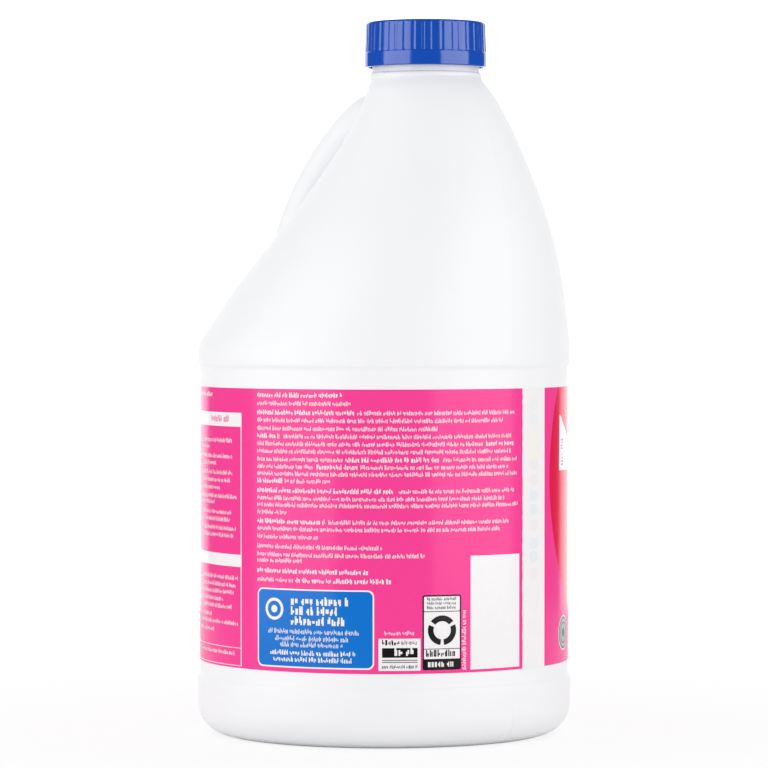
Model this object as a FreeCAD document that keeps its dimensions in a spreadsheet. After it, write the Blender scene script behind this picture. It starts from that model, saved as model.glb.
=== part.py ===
"""A bleach bottle: a blown jug with a hollow handle, a screw cap and a wrap-around label.

Millimetres, +Z up. The origin is the middle of the body on the plane that it stands on.
The mould's parting plane is XZ: the neck leans towards +X and the handle is at -X.
"""
import FreeCAD, Part
import math
import os

import Sketcher

V = FreeCAD.Vector

SIZES = {
    # Body, from the base up
    "body_radius": 76.8,
    "panel_step": 1.0,
    "heel_radius": 12.5,
    "foot_radius": 60.0,
    "push_up": 7.0,
    "base_height": 23.5,
    "panel_top": 150.2,
    "step_height": 2.4,
    "shoulder_height": 157.0,
    "wall": 1.2,
    # Neck
    "neck_shift": 25.4,
    "neck_root": 268.0,
    "root_radius": 22.4,
    "bead_radius": 22.7,
    "bead_bottom": 265.6,
    "bead_top": 270.8,
    "neck_radius": 21.9,
    "neck_wall": 2.0,
    "lip_height": 288.5,
    "lip_round": 0.5,
    "bore_dip": 3.6,
    "bore_past": 1.2,
    # Handle and the hollow behind it for the fingers
    "grip_depth": 17.4,
    "grip_width": 21.0,
    "scoop_length": 96.0,
    "scoop_width": 60.0,
    "scoop_depth": 44.0,
    "scoop_inward": 11.7,
    "scoop_upward": 10.8,
    "scoop_tilt": 39.3,
    # Thread
    "pitch": 4.233,
    "thread_turns": 1.25,
    "thread_drop": 11.3,
    "thread_depth": 1.1,
    "thread_base": 1.9,
    "thread_crest": 0.9,
    "thread_root": 0.4,
    # Cap
    "cap_radius": 25.0,
    "cap_taper": 0.4,
    "cap_height": 18.4,
    "cap_bore": 23.4,
    "cap_roof": 1.7,
    "cap_edge": 1.1,
    "skirt_height": 5.8,
    "skirt_step": 0.2,
    "groove_count": 40.0,
    "groove_radius": 1.5,
    "groove_depth": 0.2,
    # Liner, seal and label
    "liner_thickness": 1.0,
    "liner_clearance": 0.5,
    "foil_thickness": 0.2,
    "foil_margin": 0.2,
    "label_bottom": 30.6,
    "label_height": 112.4,
    "label_film": 0.2,
    "lap_start": 5.7,
    "lap_width": 15.3,
}

# The shoulder's round sections: share of its rise, share of the radius that it still
# has to lose, and share of the neck's shift that it has taken
SHOULDER = [
    (0.000, 1.000, 0.00),
    (0.032, 0.991, 0.02),
    (0.081, 0.956, 0.10),
    (0.189, 0.868, 0.29),
    (0.378, 0.684, 0.65),
    (0.563, 0.478, 0.93),
    (0.712, 0.309, 1.08),
    (0.829, 0.184, 1.14),
    (0.910, 0.101, 1.12),
    (0.964, 0.046, 1.07),
    (1.000, 0.000, 1.01),
]

# The handle's oval sections from the neck down: how far behind the neck's axis as a
# share of the body's radius, share of the shoulder's rise, how steeply the handle dives
# there in degrees, and the section's size beside the grip's
HANDLE = [
    (0.160, 0.830, -10.0, 1.75),
    (0.290, 0.852, -4.0, 1.42),
    (0.414, 0.870, 10.0, 1.14),
    (0.574, 0.815, 35.0, 1.02),
    (0.797, 0.676, 49.0, 1.00),
    (0.964, 0.523, 60.0, 1.00),
    (1.065, 0.372, 66.0, 1.04),
    (1.114, 0.228, 75.0, 1.22),
    (1.134, 0.117, 84.0, 1.40),
    (1.144, -0.018, 90.0, 1.50),
]

# The section in the middle of the grip, counted from 0
GRIP_MIDDLE = 5


class Size:
    """A length that keeps both its number and the expression that it follows."""

    def __init__(self, text, value):
        self.text = text
        self.value = value

    def __add__(self, other):
        return Size(f"({self.text} + {text_of(other)})", self.value + number(other))

    def __sub__(self, other):
        return Size(f"({self.text} - {text_of(other)})", self.value - number(other))

    def __mul__(self, other):
        return Size(f"({self.text} * {text_of(other)})", self.value * number(other))

    def __truediv__(self, other):
        return Size(f"({self.text} / {text_of(other)})", self.value / number(other))


def number(size):
    return size.value if isinstance(size, Size) else float(size)


def text_of(size):
    return size.text if isinstance(size, Size) else f"{size:.6g}"


ZERO = Size("0", 0.0)


def make_sheet(doc):
    """Writes the driving sizes to the sheet and returns them by name."""
    sheet = doc.addObject("Spreadsheet::Sheet", "Sizes")
    for row, (name, value) in enumerate(SIZES.items(), start=1):
        sheet.set(f"A{row}", name)
        sheet.set(f"B{row}", str(value))
        sheet.setAlias(f"B{row}", name)
    doc.recompute()
    return {name: Size(f"Sizes.{name}", float(sheet.get(name))) for name in SIZES}


def tie(thing, **sizes):
    """Ties a thing's properties to sizes."""
    for name, size in sizes.items():
        setattr(thing, name, size.value)
        thing.setExpression(name, size.text)


def place(thing, x=ZERO, z=ZERO, prop="Placement"):
    """Ties a thing's place along two axes to sizes; a sketch in a body reads z as y."""
    upright = "y" if prop == "AttachmentOffset" else "z"
    if x is not ZERO:
        thing.setExpression(f"{prop}.Base.x", x.text)
    if z is not ZERO:
        thing.setExpression(f"{prop}.Base.{upright}", z.text)


def side_sketch(doc, name, x=ZERO, z=ZERO):
    """Makes a free sketch in the XZ plane, with its own origin at x and z."""
    sketch = doc.addObject("Sketcher::SketchObject", name)
    sketch.Placement = FreeCAD.Placement(V(x.value, 0, z.value), FreeCAD.Rotation(V(1, 0, 0), 90))
    place(sketch, x, z)
    return sketch


def body_sketch(body, name, role, x=ZERO):
    """Adds a sketch on one of the body's own planes, moved along that plane's X."""
    sketch = body.newObject("Sketcher::SketchObject", name)
    plane = next(item for item in body.Origin.OriginFeatures if item.Role == role)
    sketch.AttachmentSupport = [(plane, "")]
    sketch.MapMode = "FlatFace"
    place(sketch, x, prop="AttachmentOffset")
    return sketch


def outline(sketch, corners, arcs=None):
    """Draws a closed outline through corners, whose places follow the sizes.

    arcs gives, by the number of the corner where an arc starts, its radius and the side
    of its centre: 1 for the left of the way to the next corner, -1 for the right.
    """
    spots = [V(x.value, y.value, 0) for x, y in corners]
    edges = []
    for index, start in enumerate(spots):
        stop = spots[(index + 1) % len(spots)]
        radius, side = (arcs or {}).get(index, (None, 0))
        if radius is None:
            edge = sketch.addGeometry(Part.LineSegment(start, stop))
        else:
            way = stop - start
            normal = V(-way.y, way.x, 0).normalize() * side
            drop = math.sqrt(max(radius.value ** 2 - (way.Length / 2) ** 2, 0.0))
            centre = (start + stop) * 0.5 + normal * drop
            edge = sketch.addGeometry(Part.Arc(start, centre - normal * radius.value, stop))
            bound(sketch, radius, "Radius", edge)
        head = 1 if (sketch.getPoint(edge, 1) - start).Length < 1e-5 else 2
        edges.append((edge, head))
    for index, (edge, head) in enumerate(edges):
        before, before_head = edges[index - 1]
        sketch.addConstraint(Sketcher.Constraint("Coincident", before, 3 - before_head, edge, head))
        for size, kind, axis in zip(corners[index], ("DistanceX", "DistanceY"), (-2, -1)):
            if size is ZERO:
                sketch.addConstraint(Sketcher.Constraint("PointOnObject", edge, head, axis))
            else:
                bound(sketch, size, kind, -1, 1, edge, head)


def bound(sketch, size, kind, *where):
    """Adds a constraint whose value follows a size."""
    index = sketch.addConstraint(Sketcher.Constraint(kind, *where, size.value))
    sketch.setExpression(f"Constraints[{index}]", size.text)


def spun(doc, name, sketch, x=ZERO):
    """Turns a free sketch about the upright axis at x."""
    solid = doc.addObject("Part::Revolution", name)
    solid.Source = sketch
    solid.Axis = V(0, 0, 1)
    solid.Base = V(x.value, 0, 0)
    solid.Solid = True
    if x is not ZERO:
        solid.setExpression("Base.x", x.text)
    return solid


def join(doc, kind, name, base, tool):
    """Makes a boolean of two things: Cut, Fuse or Common."""
    result = doc.addObject(f"Part::{kind}", name)
    result.Base = base
    result.Tool = tool
    return result


def trunk(doc, name, at, inset):
    """Base, label panel and shoulder bulge, turned about the body's axis."""
    half_step = at["step_height"] / 2
    half_swell = at["panel_step"] / 2
    step_round = (half_step * half_step + half_swell * half_swell) / (half_swell * 2)
    foot, dome = at["foot_radius"], at["push_up"]
    dome_radius = (foot * foot + dome * dome) / (dome * 2)
    full = at["body_radius"] - inset
    waist = full - at["panel_step"]
    between = full - half_swell
    low, high = at["base_height"], at["panel_top"]
    corners = [
        (ZERO, dome + inset),
        (foot, ZERO + inset),
        (at["body_radius"] - at["heel_radius"], ZERO + inset),
        (full, at["heel_radius"]),
        (full, low),
        (between, low + half_step),
        (waist, low + at["step_height"]),
        (waist, high),
        (between, high + half_step),
        (full, high + at["step_height"]),
        (full, at["shoulder_height"]),
        (ZERO, at["shoulder_height"]),
    ]
    arcs = {
        0: (dome_radius, -1),
        2: (at["heel_radius"] - inset, 1),
        4: (step_round, 1),
        5: (step_round, -1),
        7: (step_round, -1),
        8: (step_round, 1),
    }
    sketch = side_sketch(doc, f"{name}_outline")
    outline(sketch, corners, arcs)
    return spun(doc, name, sketch)


def shoulder(doc, name, at, inset):
    """The shoulder, lofted through circles that shrink and shift towards the neck."""
    rise = at["neck_root"] - at["shoulder_height"] - inset
    loss = at["body_radius"] - at["root_radius"]
    circles = []
    for index, (climb, left, shift) in enumerate(SHOULDER):
        circle = doc.addObject("Part::Circle", f"{name}_section_{index}")
        tie(circle, Radius=at["root_radius"] + loss * left - inset)
        place(circle, at["neck_shift"] * shift, at["shoulder_height"] + rise * climb)
        circles.append(circle)
    return loft(doc, name, circles)


def loft(doc, name, sections):
    solid = doc.addObject("Part::Loft", name)
    solid.Sections = sections
    solid.Solid = True
    solid.Ruled = False
    return solid


def handle_spot(at, back, climb):
    """A place on the handle's middle line, from its shares of the radius and the rise."""
    rise = at["neck_root"] - at["shoulder_height"]
    return at["neck_shift"] - at["body_radius"] * back, at["shoulder_height"] + rise * climb


def handle(doc, name, at, inset):
    """The handle: oval sections along a bow from the neck to the back of the shoulder."""
    ovals = []
    for index, (back, climb, dive, swell) in enumerate(HANDLE):
        oval = doc.addObject("Part::Ellipse", f"{name}_section_{index}")
        tie(oval, MajorRadius=at["grip_width"] * (swell / 2) - inset)
        tie(oval, MinorRadius=at["grip_depth"] * (swell / 2) - inset)
        angle = math.radians(dive)
        along = V(-math.cos(angle), 0, -math.sin(angle))
        across = V(0, 1, 0)
        turn = FreeCAD.Rotation(across, along.cross(across), along, "ZXY")
        oval.Placement = FreeCAD.Placement(V(), turn)
        place(oval, *handle_spot(at, back, climb))
        ovals.append(oval)
    return loft(doc, name, ovals)


def scoop(doc, name, at, inset):
    """The hollow that the body's back leaves for the fingers, set from the grip's middle."""
    grip_x, grip_z = handle_spot(at, *HANDLE[GRIP_MIDDLE][:2])
    dish = doc.addObject("Part::Ellipsoid", name)
    tie(dish, Radius1=at["scoop_length"] / 2 + inset)
    tie(dish, Radius2=at["scoop_depth"] / 2 + inset)
    tie(dish, Radius3=at["scoop_width"] / 2 + inset)
    dish.Placement = FreeCAD.Placement(V(), FreeCAD.Rotation(V(0, 1, 0), at["scoop_tilt"].value))
    place(dish, grip_x + at["scoop_inward"], grip_z + at["scoop_upward"])
    return dish


def neck(doc, name, at):
    """The neck with its bead and rounded lip, turned about its own axis."""
    bead_round = at["bead_radius"] - at["neck_radius"]
    corners = [
        (ZERO, at["bead_bottom"]),
        (at["bead_radius"], at["bead_bottom"]),
        (at["bead_radius"], at["bead_top"] - bead_round),
        (at["neck_radius"], at["bead_top"]),
        (at["neck_radius"], at["lip_height"] - at["lip_round"]),
        (at["neck_radius"] - at["lip_round"], at["lip_height"]),
        (ZERO, at["lip_height"]),
    ]
    arcs = {2: (bead_round, 1), 4: (at["lip_round"], 1)}
    sketch = side_sketch(doc, f"{name}_outline", at["neck_shift"])
    outline(sketch, corners, arcs)
    return spun(doc, name, sketch, at["neck_shift"])


def skin(doc, name, at, inset):
    """One skin of the blown body, inset from the outside, with its handle."""
    form = join(doc, "Fuse", f"{name}_form", trunk(doc, f"{name}_trunk", at, inset),
                shoulder(doc, f"{name}_shoulder", at, inset))
    scooped = join(doc, "Cut", f"{name}_scooped", form, scoop(doc, f"{name}_scoop", at, inset))
    return join(doc, "Fuse", name, scooped, handle(doc, f"{name}_handle", at, inset))


def thread(doc, name, at, root, crest, start):
    """A helical ridge about the neck's axis, from radius root out or in to crest."""
    coil = doc.addObject("Part::Helix", f"{name}_coil")
    tie(coil, Pitch=at["pitch"], Height=at["pitch"] * at["thread_turns"], Radius=root)
    place(coil, at["neck_shift"], start)
    profile = side_sketch(doc, f"{name}_profile", at["neck_shift"], start)
    base, tip = at["thread_base"] / 2, at["thread_crest"] / 2
    corners = [(root, ZERO - base), (crest, ZERO - tip), (crest, ZERO + tip), (root, ZERO + base)]
    outline(profile, corners)
    doc.recompute()
    ridge = doc.addObject("Part::Sweep", name)
    ridge.Sections = [profile]
    ridge.Spine = (coil, [f"Edge{index + 1}" for index in range(len(coil.Shape.Edges))])
    ridge.Solid = True
    ridge.Frenet = True
    return ridge


def make_bottle(doc, at):
    """The blown jug: its outside less its inside and the neck's bore, with the thread."""
    outside = join(doc, "Fuse", "outside", skin(doc, "outer", at, ZERO), neck(doc, "neck", at))
    bore = doc.addObject("Part::Cylinder", "bore")
    tie(bore, Radius=at["neck_radius"] - at["neck_wall"])
    start = at["bead_bottom"] - at["bore_dip"]
    tie(bore, Height=at["lip_height"] + at["bore_past"] - start)
    place(bore, at["neck_shift"], start)
    inside = join(doc, "Fuse", "inside", skin(doc, "inner", at, at["wall"]), bore)
    shell = join(doc, "Cut", "shell", outside, inside)
    root = at["neck_radius"] - at["thread_root"]
    crest = at["neck_radius"] + at["thread_depth"]
    ridge = thread(doc, "neck_thread", at, root, crest, at["lip_height"] - at["thread_drop"])
    return join(doc, "Fuse", "bottle", shell, ridge)


def make_cap(doc, at):
    """The moulded screw cap: a grooved shell, smooth at its skirt, with its own thread."""
    body = doc.addObject("PartDesign::Body", "cap_shell")
    top = cap_top(at)
    bottom = top - at["cap_height"]
    ledge = bottom + at["skirt_height"]
    side = at["cap_radius"] - at["skirt_step"]
    rim = side - at["cap_taper"]
    section = body_sketch(body, "cap_section", "XZ_Plane", at["neck_shift"])
    corners = [
        (ZERO, top),
        (ZERO, top - at["cap_roof"]),
        (at["cap_bore"], top - at["cap_roof"]),
        (at["cap_bore"], bottom),
        (at["cap_radius"], bottom),
        (at["cap_radius"], ledge),
        (side, ledge + at["skirt_step"]),
        (rim, top - at["cap_edge"]),
        (rim - at["cap_edge"], top),
    ]
    outline(section, corners, {7: (at["cap_edge"], 1)})
    turned = body.newObject("PartDesign::Revolution", "cap_turned")
    turned.Profile = section
    turned.ReferenceAxis = (section, ["V_Axis"])
    turned.Angle = 360
    doc.recompute()
    # One groove, cut down from just under the top edge to the skirt with the wall's draft
    groove = body_sketch(body, "groove_section", "XY_Plane", at["neck_shift"])
    groove.setExpression("AttachmentOffset.Base.z", (top - at["cap_edge"]).text)
    wide = at["groove_radius"] + at["cap_taper"]
    ring = groove.addGeometry(Part.Circle(V(side.value, 0, 0), V(0, 0, 1), wide.value))
    bound(groove, wide, "Radius", ring)
    bound(groove, side + at["groove_radius"] - at["groove_depth"], "DistanceX", -1, 1, ring, 3)
    groove.addConstraint(Sketcher.Constraint("PointOnObject", ring, 3, -1))
    cut = body.newObject("PartDesign::Pocket", "groove")
    cut.Profile = groove
    cut.Type = 0
    deep = at["cap_height"] - at["cap_edge"] - at["skirt_height"]
    tie(cut, Length=deep)
    cut.setExpression("TaperAngle", f"-atan({(at['cap_taper'] / deep).text})")
    doc.recompute()
    pattern = body.newObject("PartDesign::PolarPattern", "grooves")
    pattern.Originals = [cut]
    pattern.Axis = (groove, ["N_Axis"])
    pattern.Angle = 360
    pattern.Occurrences = int(at["groove_count"].value)
    pattern.setExpression("Occurrences", at["groove_count"].text)
    body.Tip = pattern
    root = at["cap_bore"] + at["thread_root"]
    crest = at["cap_bore"] - at["thread_depth"]
    start = at["lip_height"] - at["thread_drop"] - at["pitch"] / 2
    ridge = thread(doc, "cap_thread", at, root, crest, start)
    return join(doc, "Fuse", "cap", body, ridge)


def cap_top(at):
    """The cap's roof lies on the liner, the liner on the foil, the foil on the lip."""
    return at["lip_height"] + at["foil_thickness"] + at["liner_thickness"] + at["cap_roof"]


def disc(doc, name, at, radius, thickness, bottom):
    """A plain disc on the neck's axis."""
    plate = doc.addObject("Part::Cylinder", name)
    tie(plate, Radius=radius, Height=thickness)
    place(plate, at["neck_shift"], bottom)
    return plate


def make_liner(doc, at):
    radius = at["cap_bore"] - at["liner_clearance"]
    bottom = at["lip_height"] + at["foil_thickness"]
    return disc(doc, "cap_liner", at, radius, at["liner_thickness"], bottom)


def make_foil(doc, at):
    radius = at["neck_radius"] - at["foil_margin"]
    return disc(doc, "foil_seal", at, radius, at["foil_thickness"], at["lip_height"])


def make_label(doc, at):
    """The film round the panel, doubled where its ends lap."""
    body = doc.addObject("PartDesign::Body", "label")
    panel = at["body_radius"] - at["panel_step"]
    turn = at["lap_width"] / panel * math.degrees(1)
    for layer, angle, lean in (("wrap", Size("360", 360.0), 0.0), ("lap", turn, at["lap_start"].value)):
        inner = panel if layer == "wrap" else panel + at["label_film"]
        section = body_sketch(body, f"{layer}_section", "XZ_Plane")
        section.AttachmentOffset = FreeCAD.Placement(V(), FreeCAD.Rotation(V(0, 1, 0), lean))
        low, high = at["label_bottom"], at["label_bottom"] + at["label_height"]
        outer = inner + at["label_film"]
        outline(section, [(inner, low), (outer, low), (outer, high), (inner, high)])
        film = body.newObject("PartDesign::Revolution", layer)
        film.Profile = section
        film.ReferenceAxis = (section, ["V_Axis"])
        tie(film, Angle=angle)
        doc.recompute()
    body.Tip = film
    return body


def check(doc, pieces):
    """Stops if anything in the document failed, or a piece isn't one sound solid."""
    for item in doc.Objects:
        if "Invalid" in item.State or "Error" in item.State:
            raise RuntimeError(f"{item.Name} failed: {item.State}")
    for name, piece in pieces.items():
        shape = piece.Shape
        if shape.isNull() or not shape.isValid() or len(shape.Solids) != 1:
            raise RuntimeError(f"{name} is not one sound solid: {len(shape.Solids)} solids")


def main():
    doc = FreeCAD.newDocument("BleachBottle")
    at = make_sheet(doc)
    pieces = {
        "bottle": make_bottle(doc, at),
        "cap": make_cap(doc, at),
        "cap_liner": make_liner(doc, at),
        "foil_seal": make_foil(doc, at),
        "label": make_label(doc, at),
    }
    doc.recompute()
    check(doc, pieces)
    os.makedirs("parts", exist_ok=True)
    for name, piece in pieces.items():
        piece.Label = name
        piece.Shape.exportStep(f"parts/{name}.step")
        box = piece.Shape.BoundBox
        print(f"{name}: {piece.Shape.Volume / 1000:.1f} cm3, z {box.ZMin:.1f} to {box.ZMax:.1f}, "
              f"x {box.XMin:.1f} to {box.XMax:.1f}")


main()
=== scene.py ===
import math
import random

import bmesh
import bpy
from mathutils import Matrix, Vector
from mathutils.kdtree import KDTree


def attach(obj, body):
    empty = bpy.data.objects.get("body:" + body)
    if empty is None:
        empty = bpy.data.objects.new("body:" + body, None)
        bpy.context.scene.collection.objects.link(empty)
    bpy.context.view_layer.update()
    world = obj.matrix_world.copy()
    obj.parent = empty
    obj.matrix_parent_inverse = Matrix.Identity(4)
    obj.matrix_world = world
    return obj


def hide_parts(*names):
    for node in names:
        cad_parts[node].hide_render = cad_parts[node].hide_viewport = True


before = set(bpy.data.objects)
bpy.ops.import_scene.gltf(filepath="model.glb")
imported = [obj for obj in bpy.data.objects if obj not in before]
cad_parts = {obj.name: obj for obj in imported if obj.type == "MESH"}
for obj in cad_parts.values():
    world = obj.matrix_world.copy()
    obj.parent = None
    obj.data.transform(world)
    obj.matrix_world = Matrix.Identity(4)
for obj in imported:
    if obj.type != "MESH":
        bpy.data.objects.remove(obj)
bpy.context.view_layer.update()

MM = 0.001


# Jug: one blown shell of white high-density polyethylene. Two mould halves closed on a
# hot tube, so a fine parting line runs over the shoulder, the handle and the base, and
# the roots of the hollow handle are soft where the plastic was drawn round the tool.
BODY_RADIUS = 76.8
NECK_MIDDLE = 25.4
BEAD_RADIUS = 22.7
JUG_STEPS = 288
FORM_LOW = 154.0
FORM_HIGH = 268.9
NECK_LOW = 269.2
VOXEL = 1.3
PARTING_WIDTH = 0.35
PARTING_HEIGHT = 0.13
PARTING_HIGH = 266
PANEL_LOW, PANEL_HIGH = 24, 152
DRAWN_DOWN, DRAWN_UP = -10, 6

# What counts as a crease: its height, and how far a corner lies in or out of a smooth
# surface, in mm. Then how far round the creases to smooth, and in how many rounds.
CREASE_LOW, CREASE_HIGH = 156, 262
CREASE_IN, CREASE_OUT = -0.13, 0.05
SOFTENING = ((14, 25), (10, 35), (7, 40))

# The lower body's outline, from the middle of the push-up to the shoulder bulge
JUG_OUTLINE = [
    (0.0, 7.0), (12.0, 6.72), (24.0, 5.88), (36.0, 4.5), (47.0, 2.75), (55.0, 1.25),
    (58.6, 0.5), (60.6, 0.12), (62.4, 0.0), (64.3, 0.0), (66.5, 0.2), (68.9, 0.88), (71.2, 2.0),
    (73.1, 3.6), (74.8, 5.7), (76.0, 8.1), (76.6, 10.4), (76.8, 12.5), (76.8, 18.0),
    (76.8, 23.2), (76.72, 23.85), (76.5, 24.4), (76.1, 24.9), (75.9, 25.4),
    (75.82, 25.9), (75.8, 26.6), (75.8, 40.0), (75.8, 70.0), (75.8, 100.0), (75.8, 130.0),
    (75.8, 149.9), (75.84, 150.6), (76.0, 151.1), (76.3, 151.55), (76.6, 151.95),
    (76.76, 152.4), (76.8, 153.0), (76.8, 153.6),
]


def merged_copy(node):
    """A mesh of a CAD node's triangles with their shared corners merged."""
    mesh = bmesh.new()
    mesh.from_mesh(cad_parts[node].data)
    bmesh.ops.remove_doubles(mesh, verts=mesh.verts, dist=0.002 * MM)
    return mesh


def cut(mesh, spot, normal, drop_low=False, drop_high=False):
    """Cuts a mesh along a plane, and can drop what lies below or above it."""
    parts = mesh.verts[:] + mesh.edges[:] + mesh.faces[:]
    found = bmesh.ops.bisect_plane(mesh, geom=parts, dist=1e-7, plane_co=spot, plane_no=normal,
                                   clear_inner=drop_low, clear_outer=drop_high)
    return [item for item in found["geom_cut"] if isinstance(item, bmesh.types.BMEdge)]


def spread(seed, blocked):
    """Every face that can be reached from one face without crossing a blocked edge."""
    reached = {seed}
    waiting = [seed]
    while waiting:
        for edge in waiting.pop().edges:
            if edge in blocked:
                continue
            for face in edge.link_faces:
                if face not in reached:
                    reached.add(face)
                    waiting.append(face)
    return reached


def draw_on(mesh, edges, rise):
    """Draws an open loop straight up or down, and closes it with a face."""
    drawn = bmesh.ops.extrude_edge_only(mesh, edges=edges)["geom"]
    corners = [item for item in drawn if isinstance(item, bmesh.types.BMVert)]
    bmesh.ops.translate(mesh, verts=corners, vec=(0, 0, rise * MM))
    rim = [item for item in drawn if isinstance(item, bmesh.types.BMEdge) and item.is_boundary]
    bmesh.ops.edgeloop_fill(mesh, edges=rim)


def open_loop(mesh, height, radius=None):
    """The open edges at a height, and near one distance from the neck's axis if given."""
    chosen = []
    for edge in mesh.edges:
        middle = (edge.verts[0].co + edge.verts[1].co) / MM / 2
        if edge.is_boundary and abs(middle.z - height) < 0.1:
            reach = math.hypot(middle.x - NECK_MIDDLE, middle.y)
            if radius is None or abs(reach - radius) < 1:
                chosen.append(edge)
    return chosen


def fit_loop(edges, middle, radius):
    """Puts an open loop's corners at one distance from an upright axis."""
    for vert in {vert for edge in edges for vert in edge.verts}:
        way = Vector((vert.co.x - middle * MM, vert.co.y, 0))
        spot = way.normalized() * (radius * MM)
        vert.co.x, vert.co.y = spot.x + middle * MM, spot.y


def add_parting_line(mesh, bare):
    """Raises the mould's parting line on the XZ plane, less where bare says so."""
    for side in (-PARTING_WIDTH, 0, PARTING_WIDTH):
        cut(mesh, (0, side * MM, 0), (0, 1, 0))
    mesh.normal_update()
    for vert in mesh.verts:
        if abs(vert.co.y) < 1e-6 and not vert.is_boundary and not bare(vert.co.z / MM):
            out = Vector((vert.normal.x, 0, vert.normal.z)).normalized()
            vert.co += out * (PARTING_HEIGHT * MM)


def solid_of(mesh, name):
    """Makes a mesh datablock of a bmesh and frees it."""
    data = bpy.data.meshes.new(name)
    mesh.to_mesh(data)
    mesh.free()
    return data


# The shell's outside up to the bead is taken off its neck and inside
neck_and_inside = merged_copy("bottle")
seam = set(cut(neck_and_inside, (0, 0, NECK_LOW * MM), (0, 0, 1)))
neck_and_inside.faces.index_update()
sole = min(neck_and_inside.faces, key=lambda face: face.calc_center_median().z)
outside = spread(sole, seam)
outside_numbers = {face.index for face in outside}
blown = neck_and_inside.copy()
bmesh.ops.delete(blown, geom=[face for face in blown.faces if face.index not in outside_numbers],
                 context="FACES")
bmesh.ops.delete(neck_and_inside, geom=list(outside), context="FACES")

# The shoulder and handle are drawn on past both cuts, closed and remeshed, so that the
# creases at the handle's roots can be softened evenly
cut(blown, (0, 0, FORM_LOW * MM), (0, 0, 1), drop_low=True)
draw_on(blown, open_loop(blown, FORM_LOW), DRAWN_DOWN)
draw_on(blown, open_loop(blown, NECK_LOW), DRAWN_UP)
form = bpy.data.objects.new("form", solid_of(blown, "form"))
bpy.context.scene.collection.objects.link(form)
remesh = form.modifiers.new("remesh", "REMESH")
remesh.mode = "VOXEL"
remesh.voxel_size = VOXEL * MM
graph = bpy.context.evaluated_depsgraph_get()
remeshed = bpy.data.meshes.new_from_object(form.evaluated_get(graph))
shoulder = bmesh.new()
shoulder.from_mesh(remeshed)
bpy.data.objects.remove(form)


def smooth(mesh, verts, rounds, give=0.51):
    """Softens creases. Each step back keeps broad forms, such as the grip, from shrinking."""
    for _ in range(rounds):
        for factor in (0.5, -give):
            bmesh.ops.smooth_vert(mesh, verts=verts, factor=factor, use_axis_x=True,
                                  use_axis_y=True, use_axis_z=True)


def bend(vert):
    """How far a corner lies off the middle of its neighbours, along its normal."""
    around = [edge.other_vert(vert).co for edge in vert.link_edges]
    return (sum(around, Vector()) / len(around) - vert.co).dot(vert.normal) / MM


smooth(shoulder, shoulder.verts[:], 3)
shoulder.normal_update()
creased = [vert for vert in shoulder.verts if CREASE_LOW < vert.co.z / MM < CREASE_HIGH
           and not CREASE_IN < bend(vert) < CREASE_OUT]
tree = KDTree(len(creased))
for number, vert in enumerate(creased):
    tree.insert(vert.co, number)
tree.balance()
away = {vert: tree.find(vert.co)[2] / MM for vert in shoulder.verts}
for reach, rounds in SOFTENING:
    smooth(shoulder, [vert for vert in shoulder.verts if away[vert] < reach], rounds)
cut(shoulder, (0, 0, FORM_LOW * MM), (0, 0, 1), drop_low=True)
cut(shoulder, (0, 0, FORM_HIGH * MM), (0, 0, 1), drop_high=True)
fit_loop(open_loop(shoulder, FORM_LOW), 0, BODY_RADIUS)
fit_loop(open_loop(shoulder, FORM_HIGH), NECK_MIDDLE, BEAD_RADIUS)
add_parting_line(shoulder, lambda height: height > PARTING_HIGH)

# The lower body is turned about its axis
lower = bmesh.new()
line = [lower.verts.new((radius * MM, 0, height * MM)) for radius, height in JUG_OUTLINE]
chain = [lower.edges.new(pair) for pair in zip(line, line[1:])]
bmesh.ops.spin(lower, geom=line + chain, cent=(0, 0, 0), axis=(0, 0, 1), angle=math.tau,
               steps=JUG_STEPS, use_merge=True, use_duplicate=False)
bmesh.ops.remove_doubles(lower, verts=lower.verts, dist=0.001 * MM)
add_parting_line(lower, lambda height: PANEL_LOW < height < PANEL_HIGH)

# The three are sewn into one closed shell
jug = bmesh.new()
for part, name in ((shoulder, "shoulder"), (lower, "lower"), (neck_and_inside, "neck")):
    data = solid_of(part, name)
    jug.from_mesh(data)
    bpy.data.meshes.remove(data)
top_ring = JUG_OUTLINE[-1][1]
bmesh.ops.bridge_loops(jug, edges=open_loop(jug, top_ring) + open_loop(jug, FORM_LOW))
under_bead = open_loop(jug, NECK_LOW, BEAD_RADIUS)
bmesh.ops.bridge_loops(jug, edges=open_loop(jug, FORM_HIGH) + under_bead)
bmesh.ops.recalc_face_normals(jug, faces=jug.faces)


def linear(code):
    """Turns an sRGB hex colour into the linear values that a shader takes."""
    shades = [int(code[spot:spot + 2], 16) / 255 for spot in (1, 3, 5)]
    return [shade / 12.92 if shade <= 0.04045 else ((shade + 0.055) / 1.055) ** 2.4
            for shade in shades] + [1]


def add(tree, kind, settings=None, inputs=None):
    """Adds a shader node with its settings, input values and links."""
    made = tree.nodes.new(kind)
    for name, value in (settings or {}).items():
        setattr(made, name, value)
    for name, value in (inputs or {}).items():
        if isinstance(value, bpy.types.NodeSocket):
            tree.links.new(value, made.inputs[name])
        else:
            made.inputs[name].default_value = value
    return made


def start_material(name, **values):
    """A new material, its node tree, its surface shader and its object coordinates."""
    made = bpy.data.materials.new(name)
    made.use_nodes = True
    surface = made.node_tree.nodes["Principled BSDF"]
    for socket, value in values.items():
        surface.inputs[socket.replace("_", " ")].default_value = value
    place = add(made.node_tree, "ShaderNodeTexCoord").outputs["Object"]
    return made, made.node_tree, surface, place


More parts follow.
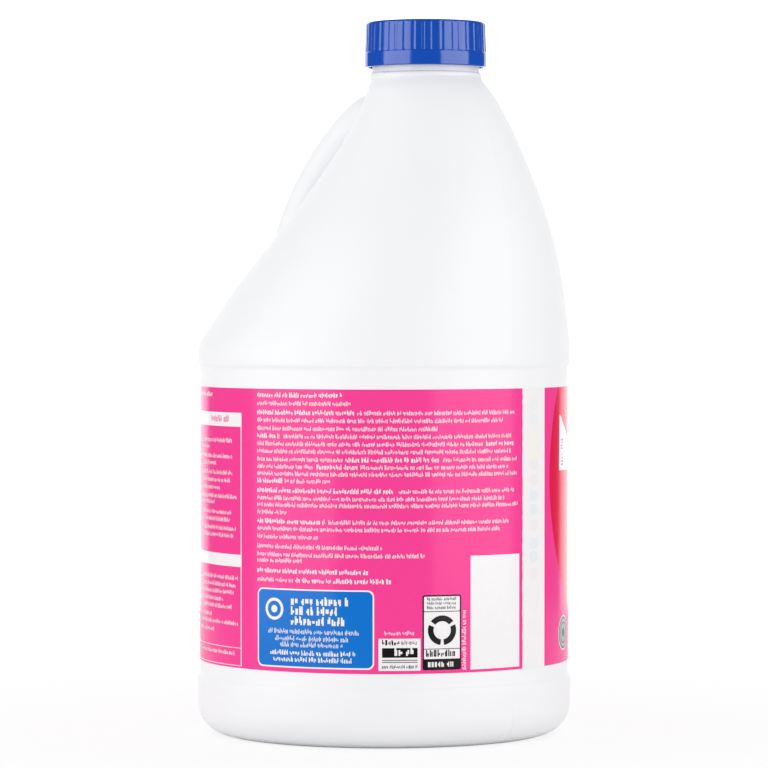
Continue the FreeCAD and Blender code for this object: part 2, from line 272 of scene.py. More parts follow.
def make_piece(name, data, finish, body, node=None, corner=35):
    """Puts a mesh in the scene as a piece of the object, shaded smooth but for its corners."""
    if isinstance(data, bmesh.types.BMesh):
        data = solid_of(data, name)
    piece = bpy.data.objects.new(name, data)
    bpy.context.scene.collection.objects.link(piece)
    data.materials.clear()
    data.materials.append(finish)
    data.polygons.foreach_set("use_smooth", [True] * len(data.polygons))
    data.set_sharp_from_angle(angle=math.radians(corner))
    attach(piece, body)
    if node:
        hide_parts(node)
    return piece


# Blown high-density polyethylene: waxy and satin, white with a cool cast. The mould was
# sand-blasted, which leaves a fine peel of about half a millimetre, drawn at 0.9 mm so
# that it shows. The wall's thickness wanders, which gives soft waves about 14 mm long.
hdpe, tree, surface, place = start_material("blown_polyethylene", Roughness=0.53, IOR=1.54,
                                            Specular_IOR_Level=0.28)
cloud = add(tree, "ShaderNodeTexNoise",
            inputs={"Vector": place, "Scale": 1 / (45 * MM), "Detail": 2})
tint = add(tree, "ShaderNodeMix", {"data_type": "RGBA"},
           {"Factor": cloud.outputs["Fac"], "A": linear("#F1F2F4"), "B": linear("#F5F6F8")})
tree.links.new(tint.outputs["Result"], surface.inputs["Base Color"])
peel = add(tree, "ShaderNodeTexNoise",
           inputs={"Vector": place, "Scale": 1 / (0.9 * MM), "Detail": 3})
ripple = add(tree, "ShaderNodeTexNoise",
             inputs={"Vector": place, "Scale": 1 / (14 * MM), "Detail": 1})
rough = add(tree, "ShaderNodeBump", inputs={
    "Height": peel.outputs["Fac"], "Distance": 0.006 * MM, "Strength": 1.0})
waves = add(tree, "ShaderNodeBump", inputs={
    "Height": ripple.outputs["Fac"], "Distance": 0.12 * MM, "Strength": 1.0,
    "Normal": rough.outputs["Normal"]})
tree.links.new(waves.outputs["Normal"], surface.inputs["Normal"])
make_piece("jug_shell", jug, hdpe, "jug", "bottle", corner=20)


# Foil seal: a laminated aluminium disc welded on the lip by induction. The weld presses
# its rim down a little and leaves the rest slightly puckered.
FOIL_RADIUS = 21.7
FOIL_LOW, FOIL_HIGH = 288.5, 288.7


def turned(outline, steps=96, middle=NECK_MIDDLE):
    """Turns a closed outline of radii and heights about an upright axis."""
    mesh = bmesh.new()
    line = [mesh.verts.new((radius * MM, 0, height * MM)) for radius, height in outline]
    chain = [mesh.edges.new(pair) for pair in zip(line, line[1:])]
    if outline[0][0] > 0:
        chain.append(mesh.edges.new((line[-1], line[0])))
    bmesh.ops.spin(mesh, geom=line + chain, cent=(0, 0, 0), axis=(0, 0, 1), angle=math.tau,
                   steps=steps, use_merge=True, use_duplicate=False)
    bmesh.ops.remove_doubles(mesh, verts=mesh.verts, dist=0.001 * MM)
    bmesh.ops.translate(mesh, verts=mesh.verts, vec=(middle * MM, 0, 0))
    bmesh.ops.recalc_face_normals(mesh, faces=mesh.faces)
    return mesh


seal = turned([
    (0, FOIL_LOW), (FOIL_RADIUS - 0.1, FOIL_LOW), (FOIL_RADIUS, FOIL_LOW + 0.05),
    (FOIL_RADIUS, FOIL_HIGH - 0.08), (FOIL_RADIUS - 0.1, FOIL_HIGH - 0.03),
    (FOIL_RADIUS - 1.9, FOIL_HIGH - 0.04), (FOIL_RADIUS - 2.2, FOIL_HIGH), (0, FOIL_HIGH)])
# Rolled aluminium: bright, with a soft sheen and fine rolling lines, drawn 0.3 mm apart
# so that they show
foil, tree, surface, place = start_material("rolled_aluminium_foil", Metallic=1.0, Roughness=0.3,
                                            Base_Color=linear("#D5D6D8"))
stretch = add(tree, "ShaderNodeMapping", inputs={
    "Vector": place, "Scale": (1 / (8 * MM), 1 / (0.3 * MM), 1)})
lines = add(tree, "ShaderNodeTexNoise",
            inputs={"Vector": stretch.outputs["Vector"], "Scale": 1.0, "Detail": 2})
pucker = add(tree, "ShaderNodeTexNoise",
             inputs={"Vector": place, "Scale": 1 / (5 * MM), "Detail": 2})
drawn = add(tree, "ShaderNodeBump",
            inputs={"Height": lines.outputs["Fac"], "Distance": 0.004 * MM})
puckered = add(tree, "ShaderNodeBump", inputs={
    "Height": pucker.outputs["Fac"], "Distance": 0.15 * MM, "Normal": drawn.outputs["Normal"]})
tree.links.new(puckered.outputs["Normal"], surface.inputs["Normal"])
make_piece("foil_disc", seal, foil, "jug", "foil_seal")


# Cap liner: a disc punched from foamed polyethylene sheet and pressed into the cap's
# roof. The lip has pressed a shallow ring into its face.
LINER_RADIUS = 22.9
LINER_LOW, LINER_HIGH = 288.7, 289.7
PRESSED = 0.06
liner = turned([
    (0, LINER_LOW), (19.6, LINER_LOW), (19.9, LINER_LOW + PRESSED), (21.8, LINER_LOW + PRESSED),
    (22.1, LINER_LOW), (LINER_RADIUS - 0.12, LINER_LOW), (LINER_RADIUS, LINER_LOW + 0.12),
    (LINER_RADIUS, LINER_HIGH - 0.05), (LINER_RADIUS - 0.05, LINER_HIGH), (0, LINER_HIGH)])
# Polyethylene foam: matt, closed cells of about a third of a millimetre
foam, tree, surface, place = start_material("polyethylene_foam", Roughness=0.72, IOR=1.5,
                                            Base_Color=linear("#F0F0EC"))
cells = add(tree, "ShaderNodeTexVoronoi", inputs={"Vector": place, "Scale": 1 / (0.35 * MM)})
pits = add(tree, "ShaderNodeBump",
           inputs={"Height": cells.outputs["Distance"], "Distance": 0.03 * MM})
tree.links.new(pits.outputs["Normal"], surface.inputs["Normal"])
make_piece("foam_liner", liner, foam, "liner", "cap_liner")


# Cap: one injection moulding in blue polypropylene. Forty shallow grooves for the grip
# run from the rounded top edge down to a smooth skirt, and a single thread is inside.
CAP_LOW, CAP_HIGH = 273.0, 291.4
SKIRT_RADIUS, SKIRT_HIGH = 25.0, 278.8
WALL_LOW, WALL_HIGH = 24.8, 24.4
STEP_LOW = 279.0
EDGE_ROUND, EDGE_STEPS = 1.1, 8
CAP_BORE, ROOF_LOW = 23.4, 289.7
GROOVES = 40
GROOVE_RADIUS, GROOVE_DEPTH, GROOVE_SOFT = 1.7, 0.2, 0.02
THREAD_PITCH, THREAD_TURNS, THREAD_LOW = 4.233, 1.25, 275.1

edge_arc = []
for step in range(EDGE_STEPS + 1):
    angle = math.radians(90 - step * 90 / EDGE_STEPS)
    edge_arc.append((WALL_HIGH - EDGE_ROUND + EDGE_ROUND * math.cos(angle),
                     CAP_HIGH - EDGE_ROUND + EDGE_ROUND * math.sin(angle)))
wall_levels = [290.15, 290.0, 289.8, 289.5, 289.0, 287.0, 284.0, 281.0, 279.6, 279.3, 279.15,
               279.08, 279.02]
slope = (WALL_LOW - WALL_HIGH) / (CAP_HIGH - EDGE_ROUND - STEP_LOW)
wall = [(WALL_HIGH + slope * (CAP_HIGH - EDGE_ROUND - level), level) for level in wall_levels]
cap = turned([(0, CAP_HIGH), (10, CAP_HIGH), (19, CAP_HIGH), (22.6, CAP_HIGH)] + edge_arc + wall + [
    (24.82, 278.97), (24.97, 278.85), (SKIRT_RADIUS, SKIRT_HIGH - 0.1), (SKIRT_RADIUS, 276.0),
    (SKIRT_RADIUS, CAP_LOW + 0.55), (SKIRT_RADIUS, CAP_LOW + 0.4),
    (SKIRT_RADIUS - 0.1, CAP_LOW + 0.1), (SKIRT_RADIUS - 0.3, CAP_LOW),
    (CAP_BORE + 0.4, CAP_LOW), (CAP_BORE + 0.1, CAP_LOW + 0.12), (CAP_BORE, CAP_LOW + 0.45),
    (CAP_BORE, 282.0), (CAP_BORE, ROOF_LOW - 0.4), (CAP_BORE - 0.4, ROOF_LOW), (0, ROOF_LOW)],
    steps=GROOVES * 20)


def groove_at(angle):
    """How deep the grip is cut at an angle round the cap."""
    sector = math.tau / GROOVES
    off = abs((angle + sector / 2) % sector - sector / 2) * WALL_LOW
    depth = math.sqrt(max(GROOVE_RADIUS ** 2 - off ** 2, 0)) - (GROOVE_RADIUS - GROOVE_DEPTH)
    return (depth + math.hypot(depth, GROOVE_SOFT)) / 2


def fade(value, low, high):
    """0 below low, 1 above high, smooth between."""
    share = min(max((value - low) / (high - low), 0), 1)
    return share * share * (3 - 2 * share)


for vert in cap.verts:
    height = vert.co.z / MM
    way = Vector((vert.co.x - NECK_MIDDLE * MM, vert.co.y, 0))
    if STEP_LOW < height < 290.8 and way.length / MM > 24:
        share = fade(height, STEP_LOW, 279.12) * (1 - fade(height, 290.1, 290.75))
        depth = groove_at(math.atan2(way.y, way.x)) * share
        vert.co -= way.normalized() * (depth * MM)

# The thread is a low ridge wound up the inside of the skirt
wound = bmesh.new()
steps = 90
ridge = [wound.verts.new(((NECK_MIDDLE + radius) * MM, 0, (THREAD_LOW + height) * MM))
         for radius, height in ((23.55, -0.95), (22.4, -0.5), (22.3, -0.35), (22.3, 0.35),
                                (22.4, 0.5), (23.55, 0.95))]
ring = [wound.edges.new(pair) for pair in zip(ridge, ridge[1:] + ridge[:1])]
bmesh.ops.spin(wound, geom=ridge + ring, cent=(NECK_MIDDLE * MM, 0, 0), axis=(0, 0, 1),
               dvec=(0, 0, THREAD_PITCH * THREAD_TURNS * MM / steps), angle=math.tau * THREAD_TURNS,
               steps=steps, use_duplicate=False)
bmesh.ops.holes_fill(wound, edges=[edge for edge in wound.edges if edge.is_boundary])
bmesh.ops.recalc_face_normals(wound, faces=wound.faces)
thread_data = solid_of(wound, "thread")
cap.from_mesh(thread_data)
bpy.data.meshes.remove(thread_data)

# Injection-moulded polypropylene: a clean semi-gloss with a faint flow in the colour,
# and the grain of a fine-ground mould, drawn at 0.6 mm so that it shows
polypropylene, tree, surface, place = start_material("moulded_polypropylene", Roughness=0.12,
                                                     IOR=1.49)
flow = add(tree, "ShaderNodeTexNoise",
           inputs={"Vector": place, "Scale": 1 / (12 * MM), "Detail": 2})
tint = add(tree, "ShaderNodeMix", {"data_type": "RGBA"},
           {"Factor": flow.outputs["Fac"], "A": linear("#0448B0"), "B": linear("#074DB8")})
tree.links.new(tint.outputs["Result"], surface.inputs["Base Color"])
grain = add(tree, "ShaderNodeTexNoise",
            inputs={"Vector": place, "Scale": 1 / (0.6 * MM), "Detail": 2})
bump = add(tree, "ShaderNodeBump",
           inputs={"Height": grain.outputs["Fac"], "Distance": 0.004 * MM})
tree.links.new(bump.outputs["Normal"], surface.inputs["Normal"])
make_piece("screw_cap", cap, polypropylene, "cap", "cap", corner=50)


# Label film: white polypropylene film wrapped round the panel, its last end lapped over
# its first. The inks lie on it in fields, each a skin of about a hundredth of a
# millimetre, which is thicker than real ink so that no two of them meet.
FILM_INNER, FILM_RADIUS = 75.8, 76.0
FILM_LOW, FILM_HIGH = 30.6, 143.0
LAP_START, LAP_END = 6.9, 21.4
FILM_THICK = 0.2
INK_STEP = 0.015
CUT_WIDTH = 1.5

film = turned([(FILM_INNER, FILM_LOW), (FILM_RADIUS, FILM_LOW), (FILM_RADIUS, FILM_HIGH),
               (FILM_INNER, FILM_HIGH)], steps=360, middle=0)


def box(mesh, left, right, low, high, corner=0):
    """A flat box of ink; across is millimetres round the film from the XZ plane."""
    spots = ((left, low), (right, low), (right, high), (left, high))
    corners = [mesh.verts.new((x, 0, z)) for x, z in spots]
    face = mesh.faces.new(corners)
    if corner:
        bmesh.ops.bevel(mesh, geom=corners, offset=corner, affect="VERTICES", segments=6,
                        profile=0.5, material=-1)
    return face


def disc(mesh, across, up, radius, steps=48):
    """A flat disc of ink."""
    made = bmesh.ops.create_circle(mesh, cap_ends=True, radius=radius, segments=steps)["verts"]
    upright = Matrix.Rotation(math.radians(90), 3, "X")
    bmesh.ops.rotate(mesh, verts=made, cent=(0, 0, 0), matrix=upright)
    bmesh.ops.translate(mesh, verts=made, vec=(across, 0, up))


def wrap(mesh, layer, base=FILM_RADIUS):
    """Cuts flat ink into narrow strips and bends it round the jug."""
    low = min(vert.co.x for vert in mesh.verts)
    high = max(vert.co.x for vert in mesh.verts)
    for number in range(math.ceil(low / CUT_WIDTH), math.floor(high / CUT_WIDTH) + 1):
        cut(mesh, (number * CUT_WIDTH, 0, 0), (1, 0, 0))
    radius = (base + layer * INK_STEP) * MM
    for vert in mesh.verts:
        angle = vert.co.x / FILM_RADIUS
        vert.co = Vector((radius * math.cos(angle), radius * math.sin(angle), vert.co.z * MM))
    mesh.normal_update()
    wrong = [face for face in mesh.faces
             if face.normal.dot(face.calc_center_median() * Vector((1, 1, 0))) < 0]
    bmesh.ops.reverse_faces(mesh, faces=wrong)
    return mesh


def ink_material(name, code, roughness=0.18):
    """A flat printing ink under the film's clear varnish, with a faint mottle."""
    made, tree, surface, place = start_material(name, Roughness=roughness, IOR=1.5,
                                                Specular_IOR_Level=0.15)
    mottle = add(tree, "ShaderNodeTexNoise",
                 inputs={"Vector": place, "Scale": 1 / (2.5 * MM), "Detail": 3})
    shade = add(tree, "ShaderNodeHueSaturation", inputs={
        "Color": linear(code),
        "Value": add(tree, "ShaderNodeMapRange", inputs={
            "Value": mottle.outputs["Fac"], "To Min": 0.98, "To Max": 1.02}).outputs["Result"]})
    tree.links.new(shade.outputs["Color"], surface.inputs["Base Color"])
    waves = add(tree, "ShaderNodeTexNoise",
                inputs={"Vector": place, "Scale": 1 / (9 * MM), "Detail": 1})
    bump = add(tree, "ShaderNodeBump",
               inputs={"Height": waves.outputs["Fac"], "Distance": 0.02 * MM})
    tree.links.new(bump.outputs["Normal"], surface.inputs["Normal"])
    return made


white_film = ink_material("white_film", "#F5F3F4")
pink_ink = ink_material("pink_ink", "#F84096")
red_ink = ink_material("red_ink", "#E80F4A")
blue_ink = ink_material("blue_ink", "#0073D0")
black_ink = ink_material("black_ink", "#0C0A0C")
silver_ink = ink_material("silver_ink", "#B4B5B8")
grey_ink = ink_material("grey_ink", "#5E6064")
tints = {"grey": ink_material("grey_tint", "#EFF1F2"),
         "yellow": ink_material("yellow_tint", "#F5F4EC"),
         "rose": ink_material("rose_tint", "#F4EEF0"),
         "sky": ink_material("sky_tint", "#EBEFF3")}

lap = bmesh.new()
box(lap, LAP_START, LAP_END, FILM_LOW, FILM_HIGH)
wrap(lap, 0, base=FILM_RADIUS + FILM_THICK)
bmesh.ops.solidify(lap, geom=lap.faces, thickness=0.19 * MM)
film_data = solid_of(lap, "lap")
film.from_mesh(film_data)
bpy.data.meshes.remove(film_data)
make_piece("label_film", film, white_film, "jug", "label")


def print_ink(name, mesh, layer, finish, base=FILM_RADIUS):
    """Wraps flat ink, gives it a skin's thickness and puts it on the jug."""
    wrap(mesh, layer, base)
    bmesh.ops.solidify(mesh, geom=mesh.faces[:], thickness=0.8 * INK_STEP * MM)
    return make_piece(name, mesh, finish, "jug")


# Fields: pink all round but for the lapped end, where the knife left it slightly wavy,
# and the red round of the front panel
ink = random.Random(5)
ROUND = math.tau * FILM_RADIUS
pink = bmesh.new()
field = box(pink, LAP_END - 0.3, ROUND + LAP_START - 0.5, FILM_LOW, FILM_HIGH)
edge = max(field.edges, key=lambda edge: min(vert.co.x for vert in edge.verts))
divided = bmesh.ops.subdivide_edges(pink, edges=[edge], cuts=60)
for item in divided["geom_inner"]:
    if isinstance(item, bmesh.types.BMVert):
        item.co.x += ink.uniform(-0.14, 0.14)
print_ink("pink_field", pink, 1, pink_ink)

FRONT_MIDDLE = 102
red = bmesh.new()
disc(red, FRONT_MIDDLE, 107, 76, 180)
cut(red, (0, 0, FILM_HIGH), (0, 0, 1), drop_high=True)
print_ink("red_field", red, 2, red_ink)


def strokes(mesh, left, right, middle, tall=1.5, weight=0.24):
    """A row of short upright strokes in pairs, joined by cross strokes, from seeded chance."""
    spot = left
    while spot < right - tall * 0.6:
        for _ in range(ink.randint(2, 9)):
            if spot > right - tall * 0.6:
                break
            wide = tall * ink.uniform(0.42, 0.66)
            low = middle - tall / 2
            for share in (0.0, 1.0):
                high = low + tall * ink.choice((1.0, 1.0, 0.7, 1.35))
                start = low + tall * ink.choice((0, 0, 0.3))
                edge = spot + share * (wide - weight)
                box(mesh, edge, edge + weight, start, high)
            level = low + tall * ink.choice((0.15, 0.5, 0.85))
            box(mesh, spot + weight * 1.2, spot + wide - weight * 1.2,
                level - weight * 0.4, level + weight * 0.4)
            spot += wide + tall * 0.22
        spot += tall * 0.42


def column(mesh, across, low, high, tall=1.4, weight=0.24):
    """A row of strokes that runs up the film."""
    before = set(mesh.verts)
    strokes(mesh, low, high, 0, tall, weight)
    for vert in set(mesh.verts) - before:
        vert.co = Vector((across - vert.co.z, 0, vert.co.x))


def ring(mesh, across, up, radius, width):
    """A flat ring of ink."""
    before = set(mesh.faces)
    disc(mesh, across, up, radius)
    face = next(face for face in mesh.faces if face not in before)
    bmesh.ops.inset_individual(mesh, faces=[face], thickness=width, use_even_offset=True)
    bmesh.ops.delete(mesh, geom=[face], context="FACES_ONLY")


# Rows of strokes on the back and side panels: height of the row's middle, then where
# each run starts and ends round the film, and whether it is light (1) or heavy (2).
# PRINT gives each kind's height and the strokes' weight.
PRINT = {1: (1.35, 0.24), 2: (1.5, 0.34)}
ROWS = [
    (140.4, ((-111.0, -71.9, 2),)),
    (137.1, ((-111.0, -67.7, 1),)),
    (133.5, ((-111.0, -67.1, 2), (-66.3, 2.3, 1))),
    (130.4, ((-111.0, -4.2, 1),)),
    (127.2, ((-111.0, -34.1, 1),)),
    (124.1, ((-111.0, -98.8, 2), (-97.6, 0.3, 1))),
    (121.1, ((-111.0, -14.0, 1), (-13.0, 1.7, 2))),
    (118.1, ((-111.0, 0.1, 1),)),
    (114.9, ((-111.0, -72.0, 1), (-71.0, -33.0, 2), (-32.0, 3.2, 1))),
    (112.0, ((-111.0, -84.0, 1), (-83.0, -66.0, 2), (-65.0, -1.6, 1))),
    (109.2, ((-111.0, 3.2, 1),)),
    (106.3, ((-111.0, -98.3, 2), (-97.1, -76.4, 1))),
    (102.5, ((-111.0, -51.2, 2), (-50.0, 1.7, 1))),
    (99.5, ((-111.0, -3.2, 1),)),
    (96.8, ((-111.0, 4.0, 1),)),
    (93.8, ((-111.0, -95.0, 1),)),
    (90.2, ((-111.0, -79.3, 2), (-78.0, -1.3, 1))),
    (87.3, ((-111.0, -5.0, 1),)),
    (84.1, ((-111.0, -82.2, 1),)),
    (80.2, ((-111.0, -56.1, 1),)),
    (77.0, ((-111.0, -38.8, 1),)),
    (74.6, ((-111.0, -88.5, 1),)),
    (70.5, ((-111.0, -61.1, 2),)),
    (66.9, ((-111.0, -93.2, 1), (-92.3, -52.2, 2))),
    (140.1, ((-168.0, -142.6, 2),)),
    (121.6, ((-176.0, -126.6, 1),)), (118.9, ((-176.0, -146.0, 1),)),
    (115.2, ((-176.0, -126.4, 1),)), (112.3, ((-176.0, -139.5, 1),)),
    (108.6, ((-176.0, -126.1, 1),)), (105.5, ((-176.0, -127.4, 1),)),
    (102.4, ((-176.0, -136.0, 1),)), (99.0, ((-176.0, -123.2, 1),)),
    (96.6, ((-176.0, -140.8, 1),)), (92.6, ((-176.0, -126.1, 1),)),
    (89.7, ((-176.0, -127.0, 1),)), (86.2, ((-176.0, -123.7, 1),)),
    (83.3, ((-176.0, -125.8, 1),)),
    (66.4, ((-176.0, -122.4, 1),)), (63.4, ((-176.0, -123.7, 1),)),
    (60.5, ((-176.0, -125.0, 1),)), (57.5, ((-176.0, -132.8, 1),)),
    (54.6, ((-176.0, -127.0, 1),)), (51.0, ((-176.0, -143.5, 1),)),
    (48.2, ((-176.0, -122.4, 1),)), (44.9, ((-176.0, -141.8, 1),)),
    (36.2, ((-176.0, -123.7, 1),)),
]
reading = bmesh.new()
for height, runs in ROWS:
    for start, stop, kind in runs:
        strokes(reading, start, stop, height, *PRINT[kind])
strokes(reading, -55.6, -43.2, 46.6, 1.3, 0.2)
column(reading, -22.8, 31.9, 55.6)
print_ink("small_print", reading, 3, white_film)

# White shapes of the back and side panels
white = bmesh.new()
box(white, -110.8, -59.6, 32.3, 63.7, corner=2.6)
for bounds in ((-57.9, -41.2, 31.9, 44.6), (-20.1, 4.5, 31.7, 76.9),
               (-120.85, -120.35, 31.4, 133.0), (-182.0, -120.6, 127.5, 133.1),
               (-182.0, -120.6, 71.2, 76.1), (-182.0, -120.6, 38.5, 38.75),
               (-182.0, -120.6, 31.4, 31.65)):
    box(white, *bounds)
print_ink("white_shapes", white, 2, white_film)

blue = bmesh.new()
box(blue, -110.2, -60.2, 32.9, 63.1, corner=2.2)
print_ink("blue_box", blue, 3, blue_ink)

black = bmesh.new()
box(black, -40.4, -24.3, 32.0, 61.7, corner=0.8)
for low, high in ((37.1, 40.9), (35.9, 36.2), (35.1, 35.4)):
    box(black, -56.5, -42.4, low, high)
strokes(black, -56.5, -49.6, 42.8, 1.6, 0.42)
strokes(black, -49.0, -42.2, 42.8, 1.4, 0.22)
strokes(black, -56.5, -42.4, 33.3, 1.1, 0.22)
print_ink("black_shapes", black, 3, black_ink)

# The tall tag's white fields, then a plain ring with three gaps and rows of strokes
RING_SPOT = Vector((-32.35, 0, 47.7))
RING_RADIUS, RING_WIDTH, GAP_HALF = 5.9, 2.3, 0.55
GAP_WAYS = [Vector((math.cos(math.radians(turn)), 0, math.sin(math.radians(turn))))
            for turn in (30, 150, 270)]
fields = bmesh.new()
box(fields, -39.8, -24.9, 55.3, 61.1, corner=0.4)
box(fields, -39.8, -24.9, 40.5, 55.0)
box(fields, -39.8, -24.9, 36.4, 40.2)
print_ink("panel_fields", fields, 4, white_film)
signs = bmesh.new()
ring(signs, RING_SPOT.x, RING_SPOT.z, RING_RADIUS, RING_WIDTH)
for way in GAP_WAYS:
    side = Vector((-way.z, 0, way.x))
    for reach in (-GAP_HALF, GAP_HALF):
        cut(signs, RING_SPOT + side * reach, side)
gaps = [face for face in signs.faces if any(
    (face.calc_center_median() - RING_SPOT).normalized().dot(way) > 0.99 for way in GAP_WAYS)]
bmesh.ops.delete(signs, geom=gaps, context="FACES")
for height in (60.0, 58.3, 56.6):
    strokes(signs, -38.6, -26.0, height, 1.0, 0.2)
strokes(signs, -39.0, -25.5, 38.3, 2.0, 0.5)
print_ink("panel_signs", signs, 5, black_ink)

# White strokes and a plain roundel on the blue box and the black bands
light = bmesh.new()
ring(light, -102.2, 55.5, 4.4, 1.2)
disc(light, -102.2, 55.5, 1.5, 24)
for height, stop in ((58.6, -68.3), (54.7, -72.7), (50.7, -71.1)):
    strokes(light, -94.3, stop, height, 2.5, 0.72)
for height, start, stop, weight in (
        (46.6, -105.2, -65.5, 0.26), (43.8, -101.7, -69.5, 0.26), (41.4, -99.3, -71.3, 0.26),
        (38.1, -104.2, -66.5, 0.36), (35.5, -102.7, -67.9, 0.36)):
    strokes(light, start, stop, height, 1.5, weight)
strokes(light, -51.6, -42.6, 39.0, 2.3, 0.7)
strokes(light, -38.2, -26.2, 34.2, 2.0, 0.5)
print_ink("light_strokes", light, 6, white_film)

# Side heading, in pink on its white band
heading = bmesh.new()
strokes(heading, -144.8, -128.6, 130.2, 2.0, 0.36)
print_ink("side_heading", heading, 4, pink_ink)

# The printer's colour checks show faintly on the lapped end
CHECK_HALF, CHECK_CORNER = 2.3, 2.1
for tint, spots in (("grey", (136.4, 130.7)), ("yellow", (125.0, 120.6, 116.2)),
                    ("rose", (112.2, 106.0, 87.7, 68.4)), ("sky", (99.8, 94.1, 80.6, 75.2))):
    checks = bmesh.new()
    for height in spots:
        box(checks, 10.6, 16.2, height - CHECK_HALF, height + CHECK_HALF, CHECK_CORNER)
    print_ink(f"{tint}_checks", checks, 1, tints[tint], FILM_RADIUS + FILM_THICK)

# Front panel: a white banner whose two ends slant up, with blue strokes, a silver
# roundel and a plain band
ROUNDEL = (42.8, 42.6)
ROUNDEL_RADIUS = 6.6
front = bmesh.new()
banner = [(-42.0, 118.0), (-53.5, 124.0), (-60.0, 128.2), (-63.7, 131.7), (-64.6, 131.8),
          (-65.0, 131.3), (-65.6, 109.6), (-65.0, 109.0)]
banner += [(-across, up) for across, up in reversed(banner)]
front.faces.new([front.verts.new((FRONT_MIDDLE + across, 0, up)) for across, up in banner])
disc(front, *ROUNDEL, 7.2)
box(front, FRONT_MIDDLE - 48, FRONT_MIDDLE + 48, 36.0, 37.0)
print_ink("front_white", front, 3, white_film)
front_blue = bmesh.new()
column(front_blue, 40.8, 111.2, 122.5, 3.2, 0.55)
print_ink("front_blue", front_blue, 4, blue_ink)
roundel = bmesh.new()
disc(roundel, *ROUNDEL, ROUNDEL_RADIUS)
print_ink("roundel", roundel, 4, silver_ink)
rings = bmesh.new()
ring(rings, *ROUNDEL, ROUNDEL_RADIUS, 0.8)
ring(rings, *ROUNDEL, 4.4, 0.5)
disc(rings, *ROUNDEL, 1.9)
print_ink("roundel_rings", rings, 5, grey_ink)


# Studio: a plain pale floor, two tall softboxes beside the camera, a white sweep behind
# the jug and a dim room. The camera stands at the photograph's angle with a long lens.
FLOOR_RADIUS = 0.7
ROOM_LIGHT = 0.875
DARK_ROOM, BRIGHT_SWEEP = 0.1, 1.8
CAMERA_AZIMUTH = -42
CAMERA_DIP = 1.157

floor_mesh = bmesh.new()
bmesh.ops.create_circle(floor_mesh, cap_ends=True, radius=FLOOR_RADIUS, segments=64)
floor = bpy.data.objects.new("floor", solid_of(floor_mesh, "floor"))
bpy.context.scene.collection.objects.link(floor)
paper = bpy.data.materials.new("white_paper")
paper.use_nodes = True
tree = paper.node_tree
surface = tree.nodes["Principled BSDF"]
surface.inputs["Base Color"].default_value = linear("#FAFAFA")
surface.inputs["Roughness"].default_value = 0.9
surface.inputs["Specular IOR Level"].default_value = 0.1
glow = add(tree, "ShaderNodeEmission", inputs={"Strength": 1.0})
seen = add(tree, "ShaderNodeLightPath")
spot = add(tree, "ShaderNodeTexCoord").outputs["Object"]
reach = add(tree, "ShaderNodeVectorMath", {"operation": "LENGTH"}, {0: spot})
clear = add(tree, "ShaderNodeMapRange", {"interpolation_type": "SMOOTHSTEP"}, {
    "Value": reach.outputs["Value"], "From Min": 0.1, "From Max": 0.35,
    "To Min": 0.82, "To Max": 1.0})
share = add(tree, "ShaderNodeMath", {"operation": "MULTIPLY"},
            {0: seen.outputs["Is Camera Ray"], 1: clear.outputs["Result"]})
blend = add(tree, "ShaderNodeMixShader",
            inputs={0: share.outputs[0], 1: surface.outputs[0], 2: glow.outputs[0]})
tree.links.new(blend.outputs[0], tree.nodes["Material Output"].inputs["Surface"])
floor.data.materials.append(paper)

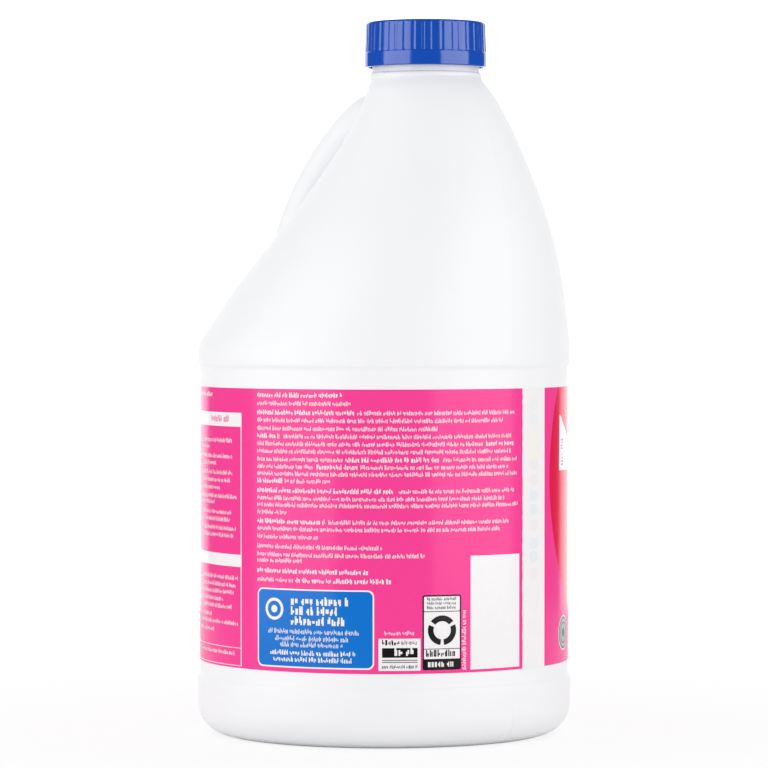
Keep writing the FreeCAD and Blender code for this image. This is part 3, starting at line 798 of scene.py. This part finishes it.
# The room lights the object evenly, and its reflection shows a bright sweep behind the
# jug and a dim room round it
world = bpy.data.worlds.new("studio")
bpy.context.scene.world = world
world.use_nodes = True
tree = world.node_tree
back = tree.nodes["Background"]
seen = add(tree, "ShaderNodeLightPath")
way = add(tree, "ShaderNodeTexCoord").outputs["Generated"]
behind = math.radians(CAMERA_AZIMUTH + 180)
facing = add(tree, "ShaderNodeVectorMath", {"operation": "DOT_PRODUCT"},
             {0: way, 1: (math.cos(behind), math.sin(behind), 0)})
sweep = add(tree, "ShaderNodeMapRange", {"interpolation_type": "SMOOTHSTEP"}, {
    "Value": facing.outputs["Value"], "From Min": 0.785, "From Max": 0.82,
    "To Min": DARK_ROOM, "To Max": BRIGHT_SWEEP})
seen_or_sweep = add(tree, "ShaderNodeMath", {"operation": "MAXIMUM"},
                    {0: seen.outputs["Is Camera Ray"], 1: sweep.outputs["Result"]})
shown = add(tree, "ShaderNodeMix", {"data_type": "FLOAT"}, {
    "Factor": seen.outputs["Is Diffuse Ray"], "A": seen_or_sweep.outputs[0], "B": ROOM_LIGHT})
tree.links.new(shown.outputs[0], back.inputs["Strength"])
back.inputs["Color"].default_value = (1, 1, 1, 1)


def softbox(name, azimuth, distance, height, wide, tall, radiance):
    """A rectangular lamp that faces the jug's axis from one side."""
    light = bpy.data.lights.new(name, "AREA")
    light.shape = "RECTANGLE"
    light.size, light.size_y = wide, tall
    light.energy = radiance * math.pi * wide * tall
    lamp = bpy.data.objects.new(name, light)
    angle = math.radians(azimuth)
    lamp.location = (distance * math.cos(angle), distance * math.sin(angle), height)
    aim = Vector((0, 0, 0.15)) - lamp.location
    lamp.rotation_euler = aim.to_track_quat("-Z", "Y").to_euler()
    lamp.visible_camera = False
    bpy.context.scene.collection.objects.link(lamp)
    return lamp


for name, turn in (("softbox_left", -57), ("softbox_right", 57)):
    strip = softbox(name, CAMERA_AZIMUTH + turn, 1.3, 0.35, 1.4, 1.1, 4.0)
    strip.visible_diffuse = False
for name, turn, height, radiance in (("fill_front", 0, 0.45, 0.45),
                                     ("fill_left", -100, 0.6, 0.75),
                                     ("fill_right", 100, 0.6, 0.5)):
    fill = softbox(name, CAMERA_AZIMUTH + turn, 1.6, height, 1.6, 1.2, radiance)
    fill.visible_glossy = False

camera_data = bpy.data.cameras.new("camera")
camera_data.lens = 187.2
camera_data.sensor_width = 36
camera = bpy.data.objects.new("camera", camera_data)
camera.location = (1.2262, -1.1041, 0.177)
camera.rotation_euler = (math.radians(90 - CAMERA_DIP), 0, math.radians(CAMERA_AZIMUTH + 90))
bpy.context.scene.collection.objects.link(camera)
bpy.context.scene.camera = camera
bpy.context.scene.view_settings.view_transform = "Standard"
